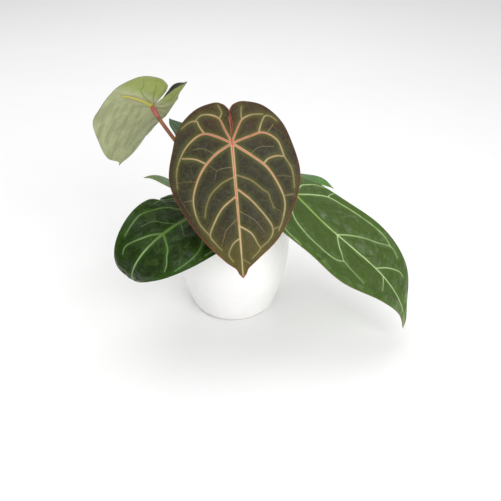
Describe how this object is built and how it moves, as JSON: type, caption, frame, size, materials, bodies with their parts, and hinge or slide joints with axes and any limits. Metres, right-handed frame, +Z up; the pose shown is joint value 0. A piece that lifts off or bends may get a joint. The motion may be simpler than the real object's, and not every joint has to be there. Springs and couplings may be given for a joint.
{
  "type": "potted anthurium plant",
  "caption": "Aroid house plant with large heart-shaped, strongly veined leaves on arching stalks, in potting mix in a plastic grower's pot inside a round white ceramic pot.",
  "frame": {"origin": "middle of the ceramic pot's foot, on the surface that it stands on", "axes": "+Z up; the largest leaf at the front hangs towards -Y; the long leaf arches out towards +X"},
  "size_m": [0.3732, 0.2354, 0.2945],
  "materials": {
    "pot_ceramic": "white, soft satin glaze",
    "grower_pot_plastic": "thin black thermoformed plastic",
    "potting_mix": "damp bark chips and fibre, with white grains of perlite",
    "stem_tissue": "green-brown stem with dry papery scales and root stubs",
    "stalk_red": "smooth satin, reddish, pink below the blade",
    "stalk_green": "smooth satin, green flushed with bronze",
    "leaf_bronze": "near-matte, bronze-olive with cream to pink veins and a thin red margin",
    "leaf_dark_green": "glossy dark green with light green veins",
    "leaf_mid_green": "satin mid green with yellow-green veins",
    "leaf_pale_green": "pale sage, with raised yellow veins on the underside"
  },
  "bodies": {
    "root": {"decorative_pot": "pot_ceramic", "grower_pot": "grower_pot_plastic", "potting_mix": "potting_mix", "stem": "stem_tissue", "blade_front": "leaf_bronze", "stalk_front": "stalk_red", "blade_left": "leaf_dark_green", "stalk_left": "stalk_green", "blade_right": "leaf_mid_green", "stalk_right": "stalk_green", "blade_right_back": "leaf_mid_green", "stalk_right_back": "stalk_green", "blade_back_left": "leaf_pale_green", "stalk_back_left": "stalk_red", "blade_back": "leaf_dark_green", "stalk_back": "stalk_green", "blade_side": "leaf_pale_green", "stalk_side": "stalk_green"}
  },
  "joints": []
}
